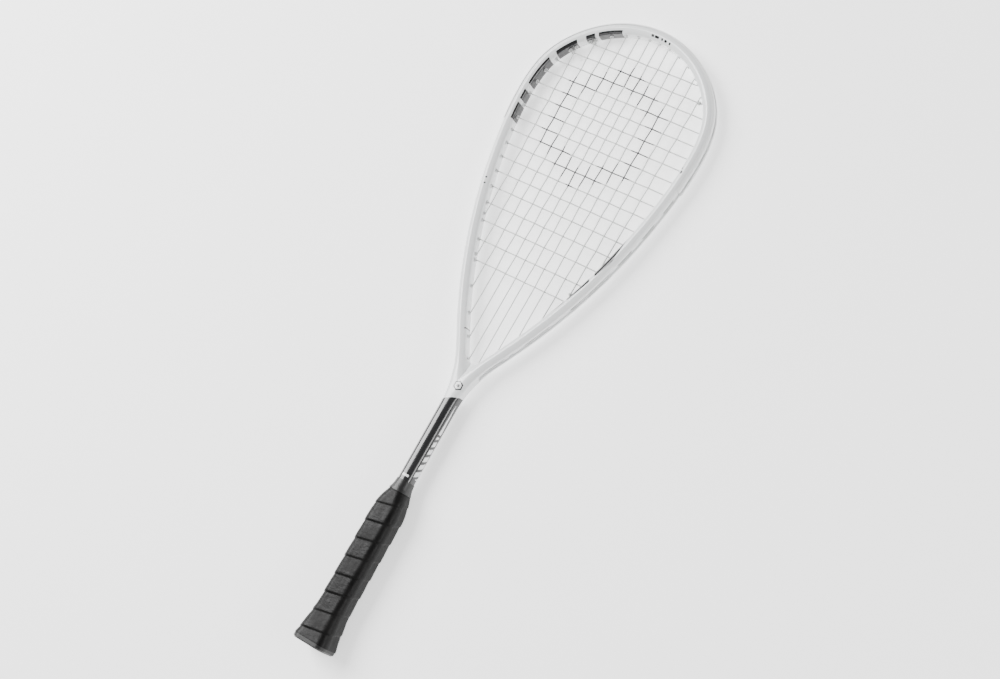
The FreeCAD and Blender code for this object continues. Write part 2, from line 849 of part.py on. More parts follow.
def main_route(side):
    """One half of the main string, from the crown to the tail that ends beside a cross."""
    lane = size("string_lane")
    points = []
    for point in channel_points(CROWN_STATION, HOLES["main 0 head"], side, lane):
        points.append((point, CHANNEL_BEND))
    points.append((corner("main 0 head", side, lane), size("hole_bend")))
    for index in range(MAINS_EACH_SIDE):
        downwards = index % 2 == 0
        points += woven_main(index, side, downwards)
        end = "foot" if downwards else "head"
        if index + 1 < MAINS_EACH_SIDE:
            points += outside_link(f"main {index} {end}", f"main {index + 1} {end}", side, lane)
    tail_hole = f"cross {CROSSES - 2}"
    points += outside_link(f"main {MAINS_EACH_SIDE - 1} head", tail_hole, side, lane)
    points.append((mouth(tail_hole, side, lane), size("hole_bend")))
    return points


def cross_route():
    """The cross string, from its first tail at the head down to its last tail near the throat."""
    lane = -size("string_lane")
    points = [(mouth("main 4 head", -1, lane), size("hole_bend"))]
    points += outside_link("main 4 head", f"cross {CROSSES - 1}", -1, lane)
    rightwards = True
    for row in reversed(range(CROSSES)):
        points += woven_cross(row, rightwards)
        side = 1 if rightwards else -1
        if row:
            points += outside_link(f"cross {row}", f"cross {row - 1}", side, lane)
        rightwards = not rightwards
    points += outside_link("cross 0", "main 4 foot", 1, lane)
    points.append((mouth("main 4 foot", 1, lane), size("hole_bend")))
    return points


def string_wire(route):
    """Straight runs joined by tangent arcs through a route's bends."""
    edges = []
    here = route[0][0]
    for (before, _), (bend, radius), (after, _) in zip(route, route[1:], route[2:]):
        came = (bend - before).normalize()
        goes = (after - bend).normalize()
        turn = came.getAngle(goes)
        if turn < 1e-3:
            continue
        room = 0.45 * min(before.distanceToPoint(bend), after.distanceToPoint(bend))
        tangent = min(radius * math.tan(turn / 2), room)
        radius = tangent / math.tan(turn / 2)
        arc_start = bend - came * tangent
        arc_end = bend + goes * tangent
        towards = (goes - came).normalize()
        middle = bend + towards * (radius / math.cos(turn / 2) - radius)
        edges.append(Part.LineSegment(here, arc_start).toShape())
        edges.append(Part.Arc(arc_start, middle, arc_end).toShape())
        here = arc_end
    edges.append(Part.LineSegment(here, route[-1][0]).toShape())
    return Part.Wire(edges)


def string_solid(route):
    """The string along a route, checked against its section times its length."""
    path = string_wire(route)
    start = route[0][0]
    direction = (route[1][0] - start).normalize()
    section = Part.Wire(Part.Circle(start, direction, size("string_radius")).toShape())
    solid = path.makePipeShell([section], True, False)
    expected = math.pi * size("string_radius") ** 2 * path.Length
    if abs(solid.Volume / expected - 1) > 0.01:
        raise ValueError(f"a string's volume is {solid.Volume:.1f}, not {expected:.1f}")
    return solid


def make_strings():
    """The main string and the cross string, each one piece woven through the other."""
    halves = {side: main_route(side) for side in (-1, 1)}
    mains = halves[-1][::-1] + halves[1]
    solid_feature("main_string", string_solid(mains))
    solid_feature("cross_string", string_solid(cross_route()))


def make_knots():
    """The four knots: two turns of string drawn tight round the string beside each tail."""
    mid_cross = CROSSES - 2
    tied = [
        woven_cross(mid_cross, True),
        woven_cross(mid_cross, False),
        woven_main(4, -1, True),
        woven_main(4, 1, False),
    ]
    radius = size("string_radius")
    knots = []
    for route in tied:
        start = route[0][0]
        along = (route[1][0] - start).normalize()
        turns = []
        for turn in (0, 1):
            centre = start + along * (size("knot_distance") + 2 * radius * turn * size("knot_pitch"))
            turns.append(Part.makeTorus(2 * radius + size("knot_gap"), radius, centre, along))
        knots.append(turns[0].fuse(turns[1]))
    solid_feature("string_knots", Part.makeCompound(knots))


# ---------------------------------------------------------------- handle

def inset_sections(inset, first, last):
    """The grip's sections moved inwards, kept between two distances from the butt."""
    sections = []
    for (a, b) in zip(GRIP_SECTIONS, GRIP_SECTIONS[1:]):
        for along in (first, last):
            if a[0] < along < b[0]:
                share = (along - a[0]) / (b[0] - a[0])
                sections.append(tuple(p + (q - p) * share for p, q in zip(a, b)))
    sections += [section for section in GRIP_SECTIONS if first <= section[0] <= last]
    sections.sort()
    return [
        (along, width - 2 * inset, depth - 2 * inset, radius - inset)
        for along, width, depth, radius in sections
    ]


def shaft_seat(name, start, end, clearance):
    """A bar of the shaft's own section, a little larger all round, to cut a seat with."""
    return bar_along(
        name,
        start,
        end,
        size("shaft_width") + 2 * clearance,
        size("shaft_depth") + 2 * clearance,
        size("shaft_round") + clearance,
        [f"{cell('shaft_round')} + {clearance}", None, None],
    )


def make_handle_shells():
    """The two moulded half shells that are glued round the shaft, front and back."""
    inset = size("tape_thickness") + size("strip_clearance")
    straight = inset_sections(inset, GRIP_STRAIGHT[0], size("shell_end"))
    foot = (size("shell_start"),) + straight[0][1:]
    core = loft_along("shell_core", [foot] + straight, ruled=True)
    seat = shaft_seat("shell_seat", 0.0, size("shell_end") + LONG_OVERRUN, size("strip_clearance"))
    hollow = cut("shell_pair", core, seat)
    reach = size("shell_end") + 2 * LONG_OVERRUN
    for name, side in (("handle_shell_front", 1), ("handle_shell_back", -1)):
        half = document.addObject("Part::Box", name + "_half")
        half.Length = 2 * SHELL_BOX
        half.Width = reach
        half.Height = SHELL_BOX
        gap = size("shell_gap") / 2
        half.Placement.Base = Vector(-SHELL_BOX, 0, gap if side > 0 else -gap - SHELL_BOX)
        common = document.addObject("Part::Common", name)
        common.Base = hollow
        common.Tool = half
        common.Label = name
    document.recompute()


def make_butt_cap():
    """The butt cap: a moulded cup with a flared rim, pushed over the foot of the shells."""
    clearance = size("strip_clearance")
    inset = size("tape_thickness") + clearance
    rim = size("tape_start") - clearance
    widest = GRIP_SECTIONS[0]
    edge = size("butt_bevel")
    rim_sections = [
        (0.0, widest[1] - 2 * edge, widest[2] - 2 * edge, widest[3] - edge),
        (edge, widest[1], widest[2], widest[3]),
        (rim, widest[1], widest[2], widest[3]),
    ]
    flange = loft_along("cap_rim", rim_sections, ruled=True)
    skirt_sections = inset_sections(inset, GRIP_SECTIONS[0][0], size("cap_end"))
    skirt = loft_along("cap_skirt", skirt_sections, ruled=True)
    join = bar_along(
        "cap_join", rim - 1.5, GRIP_SECTIONS[0][0], widest[1] - 2 * inset, widest[2] - 2 * inset,
        widest[3] - inset, [None, None, None]
    )
    body = fused("cap_body", [flange, skirt, join])
    straight = inset_sections(inset, GRIP_STRAIGHT[0], GRIP_STRAIGHT[1])[0]
    pocket = bar_along(
        "cap_pocket",
        size("cap_floor"),
        size("cap_end") + OVERRUN,
        straight[1] + 2 * clearance,
        straight[2] + 2 * clearance,
        straight[3] + clearance,
        [None, None, None],
    )
    cup = cut("cap_cup", body, pocket)
    recess = solid_feature("cap_staple_seats", Part.makeCompound(staple_solids(clearance)))
    cut("butt_cap", cup, recess)


def staple_solids(grow):
    """Two wire staples, one on each side of the cap, driven through it into the shells."""
    wire = size("staple_wire") + 2 * grow
    crown = size("staple_crown")
    along = size("staple_place")
    inset = size("tape_thickness") + size("strip_clearance")
    width = inset_sections(inset, along, along + 1.0)[0][1]
    solids = []
    for side in (-1, 1):
        surface = side * (width / 2)
        inner = surface - side * size("staple_leg")
        low = min(surface, inner)
        bar = Part.makeBox(wire, wire, crown + 2 * grow)
        bar.translate(Vector(surface - wire / 2 - side * wire / 2, along - wire / 2, -crown / 2 - grow))
        staple = bar
        for end in (-1, 1):
            leg = Part.makeBox(abs(surface - inner), wire, wire)
            place = end * (crown / 2 - size("staple_wire") / 2)
            leg.translate(Vector(low, along - wire / 2, place - wire / 2))
            staple = staple.fuse(leg)
        solids.append(staple.removeSplitter())
    return solids


def make_staples():
    """The staples that hold the butt cap to the two shells."""
    solid_feature("butt_staples", Part.makeCompound(staple_solids(0.0)))


def make_grip_tape():
    """The wound grip as one closed sleeve, from the cap's rim to the shaft."""
    start = size("tape_start")
    end = size("tape_end")
    outer = loft_along("tape_outside", inset_sections(0.0, start, end), ruled=True)
    inset = size("tape_thickness")
    inner_sections = inset_sections(inset, start, end)
    mouth_section = (start - SMALL_OVERRUN,) + inner_sections[0][1:]
    inner = loft_along("tape_inside", [mouth_section] + inner_sections, ruled=True)
    seat = shaft_seat("tape_seat", 0.0, end + LONG_OVERRUN, size("strip_clearance"))
    core = fused("tape_core", [inner, seat])
    cut("grip_tape", outer, core)


def make_finishing_tape():
    """The band of finishing tape that holds the grip's top end down to the shaft."""
    start = size("finish_start")
    end = size("finish_end")
    thickness = size("finish_thickness")
    sections = inset_sections(-thickness, start, size("tape_end"))
    sections.append((end,) + shaft_section(thickness + size("strip_clearance")))
    outer = loft_along("finish_outside", sections, ruled=True)
    inner_sections = inset_sections(0.0, start - SMALL_OVERRUN, size("tape_end"))
    inner = loft_along("finish_inside", inner_sections, ruled=True)
    seat = shaft_seat("finish_seat", start - OVERRUN, end + OVERRUN, size("strip_clearance"))
    cut("finishing_tape", outer, fused("finish_core", [inner, seat]))


def shaft_section(grow):
    """The shaft's width, depth and corner radius, grown all round."""
    return (
        size("shaft_width") + 2 * grow,
        size("shaft_depth") + 2 * grow,
        size("shaft_round") + grow,
    )


def make_collar():
    """The rubber collar that covers the top of the grip and slides up the shaft."""
    start = size("collar_start")
    end = size("collar_end")
    wall = size("collar_wall")
    under = size("finish_thickness") + size("collar_clearance")
    cone = inset_sections(-under, start, size("tape_end"))
    neck = size("finish_end") + 0.5
    bore = shaft_section(under + size("strip_clearance"))
    throat = shaft_section(size("collar_clearance"))
    mouth_section = (start - 1.0,) + cone[0][1:]
    inner_sections = [mouth_section] + cone + [(neck, *bore), (neck + 1.0, *throat), (end + 1.0, *throat)]
    inner = loft_along("collar_inside", inner_sections, ruled=True)
    outer_sections = inset_sections(-under - wall, start, size("tape_end"))
    outer_sections.append((neck, *shaft_section(under + wall)))
    outer_sections.append((end, *shaft_section(size("collar_clearance") + size("collar_lip"))))
    outer = loft_along("collar_outside", outer_sections, ruled=True)
    cut("collar", outer, inner)


# ---------------------------------------------------------------- the assembly

SUB_PARTS = [
    "frame",
    "head_guard",
    "side_grommets_left",
    "side_grommets_right",
    "throat_grommets_left",
    "throat_grommets_right",
    "main_string",
    "cross_string",
    "string_knots",
    "handle_shell_front",
    "handle_shell_back",
    "butt_cap",
    "butt_staples",
    "grip_tape",
    "finishing_tape",
    "collar",
]


def make_grommets():
    """The grommet strips of both sides: a long one up the side and a short one at the throat."""
    for side, word in ((-1, "left"), (1, "right")):
        make_strip(f"side_grommets_{word}", side, SIDE_STRIP_START, SIDE_STRIP_END)
        make_strip(f"throat_grommets_{word}", side, THROAT_STATION, THROAT_STRIP_END)


def check_document():
    """Stop if any object failed, or if a sub-part has no valid shape."""
    for item in document.Objects:
        if "Invalid" in item.State or "Error" in item.State:
            raise RuntimeError(f"{item.Name} failed: {item.State}")
    for name in SUB_PARTS:
        shape = document.getObject(name).Shape
        if shape.isNull() or not shape.isValid() or not shape.Solids:
            raise RuntimeError(f"{name} has no valid shape")


def export_parts():
    """Write each sub-part to its own file."""
    os.makedirs("parts", exist_ok=True)
    for name in SUB_PARTS:
        shape = document.getObject(name).Shape
        shape.exportStep(os.path.join("parts", name + ".step"))
        print(f"{name}: {len(shape.Solids)} solids, {shape.Volume / 1000:.2f} cm3")


make_frame()
make_grommets()
make_head_guard()
make_strings()
make_knots()
make_handle_shells()
make_butt_cap()
make_staples()
make_grip_tape()
make_finishing_tape()
make_collar()
document.recompute()
check_document()
export_parts()
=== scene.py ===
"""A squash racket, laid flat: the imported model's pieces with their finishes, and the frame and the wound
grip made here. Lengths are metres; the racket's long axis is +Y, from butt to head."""

import math
import bmesh
import bpy
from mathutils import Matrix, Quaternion, Vector


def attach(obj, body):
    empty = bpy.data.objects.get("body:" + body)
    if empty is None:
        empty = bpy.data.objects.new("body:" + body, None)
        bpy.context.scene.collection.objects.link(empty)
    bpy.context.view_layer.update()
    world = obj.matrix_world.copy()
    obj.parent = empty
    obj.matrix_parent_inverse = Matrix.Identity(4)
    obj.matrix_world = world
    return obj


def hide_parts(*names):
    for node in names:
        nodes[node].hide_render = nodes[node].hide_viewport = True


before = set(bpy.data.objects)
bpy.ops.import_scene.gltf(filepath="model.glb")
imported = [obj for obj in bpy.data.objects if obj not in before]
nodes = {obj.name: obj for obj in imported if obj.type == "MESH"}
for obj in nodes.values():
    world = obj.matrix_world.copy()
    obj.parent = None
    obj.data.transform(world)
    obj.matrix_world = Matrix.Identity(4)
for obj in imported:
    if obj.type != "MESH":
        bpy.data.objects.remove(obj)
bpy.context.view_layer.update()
MM = 0.001


# ---------------------------------------------------------------- frame: shape
# The frame is one hollow carbon composite moulding: hoop, open throat and shaft in one tube that is
# laid up, blown and cured in a mould. Its faces meet in a soft ridge and run out in a V at the throat.

BEAM_WIDTH = 10.5 * MM
BEAM_DEPTH = 18.0 * MM
SHAFT_WIDTH = 16.8 * MM
SHAFT_ROUND = 8.2 * MM
SHAFT_FOOT = 6.0 * MM
NECK_START = 258.0 * MM
NECK_END = 296.0 * MM
ARM_TURN = math.radians(30.2)
ARM_START = Vector((19.0, 320.28, 0)) * MM
ARM_LENGTH = 21.0 * MM
BEAM_ARCS = [(542.0, 21.8), (350.0, 7.9), (130.0, 11.7), (74.0, 24.0)]
THROAT_BLEND = 100.0 * MM
THROAT_CORNER = 11.0 * MM
GROOVE_DEPTH = 2.4 * MM
GROOVE_HALF = 3.0 * MM
GROOVE_START = -22.0 * MM
SHOULDER_HEIGHT = 5.0 * MM
SHOULDER_RISE = 1.35 * MM
SHOULDER_SPREAD = 0.75 * MM
FACET_SLOPE = 0.5
WEB_FALL = -4.5 * MM
ROW_STEP = 3.0 * MM
ACROSS = [
    0.0, 0.015, 0.04, 0.08, 0.13, 0.2, 0.29, 0.38, 0.46, 0.5,
    0.54, 0.62, 0.71, 0.8, 0.87, 0.92, 0.96, 0.985, 1.0,
]


def beam_runs():
    """The right half of the beam's centre line: the throat arm, then arcs that turn left to the crown.

    Each run is (start, heading clockwise from +Y, radius or 0, length, station at its start).
    """
    start = ARM_START.copy()
    heading = ARM_TURN
    runs = [(start.copy(), heading, 0.0, ARM_LENGTH, 0.0)]
    start += Vector((math.sin(heading), math.cos(heading), 0)) * ARM_LENGTH
    station = ARM_LENGTH
    for radius_mm, sweep_degrees in BEAM_ARCS:
        radius = radius_mm * MM
        sweep = math.radians(sweep_degrees)
        runs.append((start.copy(), heading, radius, radius * sweep, station))
        start.x += radius * (math.cos(heading - sweep) - math.cos(heading))
        start.y += radius * (math.sin(heading) - math.sin(heading - sweep))
        heading -= sweep
        station += radius * sweep
    radius = start.x / math.cos(heading)
    runs.append((start.copy(), heading, radius, radius * (heading + math.pi / 2), station))
    return runs


RUNS = beam_runs()
CROWN = RUNS[-1][4] + RUNS[-1][3]


def beam_point(station, inset, side=1):
    """A point at a station along the beam, inset from its outer face towards the strings."""
    start, first_heading, radius, _, first = max(
        (run for run in RUNS if run[4] <= max(station, 0.0) + 1e-9), key=lambda run: run[4]
    )
    heading = first_heading - ((station - first) / radius if radius else 0.0)
    x, y = start.x, start.y
    if radius:
        x += radius * (math.cos(heading) - math.cos(first_heading))
        y += radius * (math.sin(first_heading) - math.sin(heading))
    else:
        x += (station - first) * math.sin(heading)
        y += (station - first) * math.cos(heading)
    out = BEAM_WIDTH / 2 - inset
    return Vector((side * (x + out * math.cos(heading)), y - out * math.sin(heading), 0))


def throat_outline():
    """The outer edge from the shaft to the start of the arm, as points: straight, arc, straight."""
    half = SHAFT_WIDTH / 2
    arm = beam_point(0.0, 0.0)
    direction = Vector((math.sin(ARM_TURN), math.cos(ARM_TURN), 0))
    corner = arm - direction * ((arm.x - half) / math.sin(ARM_TURN))
    centre = Vector((half + THROAT_BLEND, corner.y - THROAT_BLEND * math.tan(ARM_TURN / 2), 0))
    points = [Vector((half, SHAFT_FOOT, 0)), Vector((half, centre.y, 0))]
    for step in range(1, 25):
        turn = ARM_TURN * step / 24
        points.append(centre + Vector((-math.cos(turn), math.sin(turn), 0)) * THROAT_BLEND)
    points.append(arm)
    return points


def throat_inside():
    """The inner edge from the shaft's axis round the throat corner to the start of the arm."""
    wall = beam_point(0.0, BEAM_WIDTH)
    centre = Vector((0, wall.y - wall.x / math.tan(ARM_TURN) + THROAT_CORNER / math.sin(ARM_TURN), 0))
    points = []
    for step in range(13):
        turn = (math.pi / 2 - ARM_TURN) * step / 12
        points.append(centre + Vector((math.sin(turn), -math.cos(turn), 0)) * THROAT_CORNER)
    return points + [wall]


def spaced(points, count):
    """Points at equal distances along a line of points."""
    lengths = [0.0]
    for a, b in zip(points, points[1:]):
        lengths.append(lengths[-1] + (b - a).length)
    result = []
    for step in range(count):
        target = lengths[-1] * step / (count - 1)
        index = max(i for i in range(len(points) - 1) if lengths[i] <= target + 1e-12)
        share = (target - lengths[index]) / max(lengths[index + 1] - lengths[index], 1e-12)
        result.append(points[index].lerp(points[index + 1], share))
    return result


def distance_to_line(point, points):
    """The shortest distance from a point to a line of points."""
    best = 1.0
    for a, b in zip(points, points[1:]):
        along = b - a
        share = max(0.0, min(1.0, (point - a).dot(along) / along.length_squared))
        best = min(best, (point - a - along * share).length)
    return best


def soft_min(a, b, reach):
    """The lower of two heights, with the crease between them rounded over a reach."""
    overlap = max(reach - abs(a - b), 0.0) / reach
    return min(a, b) - overlap * overlap * reach / 4


def facet(distance):
    """The height of one sloping face of the beam at a distance from its edge."""
    distance = max(distance, WEB_FALL)
    shoulder = SHOULDER_RISE * (1 - math.exp(-max(distance, 0.0) / SHOULDER_SPREAD))
    return SHOULDER_HEIGHT + shoulder + FACET_SLOPE * distance


def shaft_height(distance):
    """The height of the rounder shaft at a distance from its edge."""
    reach = max(SHAFT_ROUND - distance, 0.0)
    return BEAM_DEPTH / 2 - SHAFT_ROUND + math.sqrt(max(SHAFT_ROUND**2 - reach**2, 0.0))


def smooth_share(value, low, high):
    """0 below low, 1 above high, and a smooth turn between."""
    share = max(0.0, min(1.0, (value - low) / (high - low)))
    return share * share * (3 - 2 * share)


OUTLINE = throat_outline()
ARM_WALL = beam_point(0.0, BEAM_WIDTH)
ARM_OUTWARD = Vector((math.cos(ARM_TURN), -math.sin(ARM_TURN), 0))


def top_height(point, outer_distance, inner_distance):
    """The height of the frame's upper surface at one place."""
    beam = soft_min(facet(outer_distance), facet(inner_distance), 0.5 * MM)
    beam = soft_min(beam, BEAM_DEPTH / 2, 0.5 * MM)
    blend = smooth_share(point.y, NECK_START, NECK_END)
    return shaft_height(outer_distance) * (1 - blend) + beam * blend


def frame_rows():
    """Rows of the right half, from the shaft's foot to the crown.

    Each row is (outer point, inner point, station, whether it has an inner wall, groove depth).
    """
    inside = throat_inside()
    apex = inside[0]
    foot_rows = 30
    rows = []
    for step in range(foot_rows):
        y = SHAFT_FOOT + (NECK_START - SHAFT_FOOT) * step / foot_rows
        rows.append((Vector((SHAFT_WIDTH / 2, y, 0)), Vector((0, y, 0)), y - ARM_START.y, False, 0.0))
    upper = [Vector((SHAFT_WIDTH / 2, NECK_START, 0))] + [p for p in OUTLINE if p.y > NECK_START]
    below_apex = spaced([Vector((0, NECK_START, 0)), apex], 22)
    above_apex = spaced(inside, 16)
    middle_row = len(below_apex) - 1
    outer = spaced(upper, middle_row + len(above_apex))
    for index, point in enumerate(outer):
        has_wall = index >= middle_row
        inner = above_apex[index - middle_row] if has_wall else below_apex[index]
        station = (point - ARM_START).dot(Vector((math.sin(ARM_TURN), math.cos(ARM_TURN), 0)))
        if index + 1 < len(outer):
            groove = GROOVE_DEPTH if station > GROOVE_START else 0.0
            rows.append((point, inner, min(station, -0.1 * MM), has_wall, groove))
    count = round(CROWN / ROW_STEP)
    for step in range(count + 1):
        station = CROWN * step / count
        outer_point = beam_point(station, 0.0)
        inner_point = beam_point(station, BEAM_WIDTH)
        if step == count:
            outer_point.x = inner_point.x = 0.0
        rows.append((outer_point, inner_point, station, True, GROOVE_DEPTH))
    return rows


def frame_mesh():
    """The frame as one closed mesh with a UV map: u runs along the hoop and v across its face."""
    vertices, faces, wrap = [], [], []
    rows = frame_rows()
    last = len(ACROSS) - 1

    def add(point, u, v):
        vertices.append(point)
        wrap.append((u, v))
        return len(vertices) - 1

    for side in (1, -1):
        rings = []
        for outer, inner, station, has_wall, depth in rows:
            inward = (inner - outer).normalized()
            u = station if side > 0 else 2 * CROWN - station
            top, bottom = [], []
            edge_height = None
            for share in ACROSS:
                point = outer.lerp(inner, share)
                if station >= 0:
                    distances = (BEAM_WIDTH * share, BEAM_WIDTH * (1 - share))
                else:
                    to_wall = (point - ARM_WALL).dot(ARM_OUTWARD)
                    distances = (distance_to_line(point, OUTLINE), to_wall)
                height = top_height(point, *distances)
                edge_height = edge_height or height
                place = Vector((side * point.x, point.y, height))
                top.append(add(place, u, share))
                bottom.append(add(Vector((place.x, place.y, -height)), u, share))
            lip = min(GROOVE_HALF, 0.6 * edge_height)
            outer_wall = []
            for inset, height in ((0, lip), (depth, lip), (depth, -lip), (0, -lip)):
                point = outer + inward * inset
                outer_wall.append(add(Vector((side * point.x, point.y, height)), u, -0.1 - inset))
            inner_wall = []
            if has_wall:
                wall_height = vertices[top[-1]].z
                for share in (0.33, -0.33):
                    inner_wall.append(add(Vector((side * inner.x, inner.y, wall_height * share)), u, 1.1))
            rings.append((top, bottom, outer_wall, inner_wall))

        def strip(a, b):
            for index in range(len(a) - 1):
                quad = (a[index], b[index], b[index + 1], a[index + 1])
                faces.append(quad if side > 0 else quad[::-1])

        for low, high in zip(rings, rings[1:]):
            strip(low[0], high[0])
            strip(high[1], low[1])
            outer_low = [low[1][0]] + low[2][::-1] + [low[0][0]]
            outer_high = [high[1][0]] + high[2][::-1] + [high[0][0]]
            strip(outer_low, outer_high)
            if low[3]:
                strip([low[0][last]] + low[3] + [low[1][last]], [high[0][last]] + high[3] + [high[1][last]])
        top, bottom, outer_wall, _ = rings[0]
        cap = top[::-1] + outer_wall + bottom
        faces.append(cap if side > 0 else cap[::-1])
    return vertices, faces, wrap


def merged_mesh(name, vertices, faces, wrap=None, angle=40.0):
    """A mesh object from points and faces, doubles merged, normals outwards, smooth but for its edges."""
    mesh = bpy.data.meshes.new(name)
    mesh.from_pydata(vertices, [], faces)
    if wrap:
        layer = mesh.uv_layers.new(name="wrap")
        for loop in mesh.loops:
            layer.data[loop.index].uv = wrap[loop.vertex_index]
    shape = bmesh.new()
    shape.from_mesh(mesh)
    bmesh.ops.remove_doubles(shape, verts=shape.verts, dist=1e-6)
    bmesh.ops.dissolve_degenerate(shape, dist=1e-7, edges=shape.edges)
    bmesh.ops.recalc_face_normals(shape, faces=shape.faces)
    shape.to_mesh(mesh)
    shape.free()
    mesh.shade_smooth()
    mesh.set_sharp_from_angle(angle=math.radians(angle))
    piece = bpy.data.objects.new(name, mesh)
    bpy.context.scene.collection.objects.link(piece)
    return piece


painted_frame = merged_mesh("painted_frame", *frame_mesh())


# ---------------------------------------------------------------- frame: paint
# White gloss over the hoop and throat, black gloss over the shaft, with a slanting line between them.
# The printed marks are plain bars, dots and a tapered stripe under the clear coat.

PAINT_WHITE = (0.86, 0.87, 0.87, 1)
PAINT_BLACK = (0.006, 0.006, 0.007, 1)
PAINT_LINE = 269.5 * MM
PAINT_SLANT = 0.5


def new_material(name):
    """A new node material: (material, tree, shader)."""
    material = bpy.data.materials.new(name)
    material.use_nodes = True
    tree = material.node_tree
    shader = next(node for node in tree.nodes if node.type == "BSDF_PRINCIPLED")
    return material, tree, shader


def join(tree, value, socket):
    """Link a socket, or set a plain number or colour."""
    if isinstance(value, bpy.types.NodeSocket):
        tree.links.new(value, socket)
    else:
        socket.default_value = value


def maths(tree, operation, *values):
    """The output of one maths node."""
    node = tree.nodes.new("ShaderNodeMath")
    node.operation = operation
    for value, socket in zip(values, node.inputs):
        join(tree, value, socket)
    return node.outputs[0]


def between(tree, value, low, high):
    """1 where low < value < high, else 0."""
    above = maths(tree, "GREATER_THAN", value, low)
    below = maths(tree, "LESS_THAN", value, high)
    return maths(tree, "MULTIPLY", above, below)


def all_of(tree, first, *others):
    """The product of masks."""
    for other in others:
        first = maths(tree, "MULTIPLY", first, other)
    return first


def any_of(tree, first, *others):
    """The highest of masks."""
    for other in others:
        first = maths(tree, "MAXIMUM", first, other)
    return first


def mixed(tree, share, first, second):
    """A colour between two colours."""
    node = tree.nodes.new("ShaderNodeMix")
    node.data_type = "RGBA"
    join(tree, share, node.inputs[0])
    join(tree, first, node.inputs[6])
    join(tree, second, node.inputs[7])
    return node.outputs[2]


def object_place(tree):
    """The object coordinates: (vector, x, y, z)."""
    source = tree.nodes.new("ShaderNodeTexCoord").outputs["Object"]
    split = tree.nodes.new("ShaderNodeSeparateXYZ")
    tree.links.new(source, split.inputs[0])
    return source, split.outputs[0], split.outputs[1], split.outputs[2]


def noise(tree, vector, scale, detail=3.0, roughness=0.55, stretch=None):
    """A noise value at a scale in cycles per metre, stretched along an axis if asked."""
    if stretch:
        mapping = tree.nodes.new("ShaderNodeMapping")
        mapping.inputs["Scale"].default_value = stretch
        tree.links.new(vector, mapping.inputs[0])
        vector = mapping.outputs[0]
    node = tree.nodes.new("ShaderNodeTexNoise")
    node.inputs["Scale"].default_value = scale
    node.inputs["Detail"].default_value = detail
    node.inputs["Roughness"].default_value = roughness
    tree.links.new(vector, node.inputs["Vector"])
    return node.outputs["Fac"]


def ranged(tree, value, low, high, to_low, to_high):
    """A value moved from one range to another, and kept in it."""
    node = tree.nodes.new("ShaderNodeMapRange")
    for socket, number in zip(node.inputs[1:5], (low, high, to_low, to_high)):
        socket.default_value = number
    join(tree, value, node.inputs[0])
    return node.outputs[0]


def bumped(tree, shader, height, strength, distance, under=None):
    """Give a shader a bump from a height."""
    node = tree.nodes.new("ShaderNodeBump")
    node.inputs["Strength"].default_value = strength
    node.inputs["Distance"].default_value = distance
    tree.links.new(height, node.inputs["Height"])
    if under:
        tree.links.new(under, node.inputs["Normal"])
    tree.links.new(node.outputs[0], shader.inputs["Normal"])
    return node.outputs[0]


# Stretches along the hoop in millimetres, from the start of the arm on the side named.
LEFT_BLOCKS = ((244, 262), (266, 277), (284, 318), (327, 352), (362, 372), (376, 402))
RIGHT_STRIPE_PARTS = ((58, 84), (88, 117), (124, 172))
# Small dashes by the crown: where each starts past the crown, and its length.
CROWN_DASHES = ((-16, 3), (-11, 2), (-6, 5), (0, 3), (-21, 2))
# Small bars and dots: first and last place along the hoop, then first and last share across it.
RIGHT_BARS = ((256, 259, 0.55, 0.75), (261, 262.5, 0.75, 0.95))
LEFT_DOTS = ((168, 169.5, 0.5, 0.68), (174, 175.5, 0.5, 0.68), (16, 17.2, 0.86, 1.3))


def bar(tree, lean, across, low, high, first, last):
    """One printed bar: between two places along the hoop and two across it."""
    return all_of(
        tree,
        between(tree, lean, low * MM, high * MM),
        between(tree, across, first, last),
    )


def paint_marks(tree, along, across):
    """The mask of the plain black marks printed on the hoop."""
    from_left = maths(tree, "SUBTRACT", 2 * CROWN, along)
    lean = maths(tree, "ADD", from_left, maths(tree, "MULTIPLY", across, 4.0 * MM))
    # bold blocks round the upper left, across the inner face and down the inner wall
    marks = [
        bar(tree, lean, across, low, high, 0.74, 1.6)
        for low, high in LEFT_BLOCKS
    ]
    # a broken tapered stripe on the inner face of the right arm, widest two thirds of the way up
    rising = ranged(tree, along, 64 * MM, 148 * MM, 0.94, 0.42)
    falling = ranged(tree, along, 150 * MM, 178 * MM, 0.42, 0.96)
    stripe = maths(tree, "GREATER_THAN", across, maths(tree, "MAXIMUM", rising, falling))
    right = maths(tree, "ADD", along, maths(tree, "MULTIPLY", across, -6.0 * MM))
    for low, high in RIGHT_STRIPE_PARTS:
        marks.append(all_of(tree, stripe, between(tree, right, low * MM, high * MM)))
    # small dashes by the crown, two bars on the right, and two dots and a tick on the left
    for start, length in CROWN_DASHES:
        first = CROWN / MM + start
        marks.append(bar(tree, along, across, first, first + length, 0.6, 0.82))
    for low, high, first, last in RIGHT_BARS:
        marks.append(bar(tree, along, across, low, high, first, last))
    for low, high, first, last in LEFT_DOTS:
        marks.append(bar(tree, from_left, across, low, high, first, last))
    return any_of(tree, *marks)


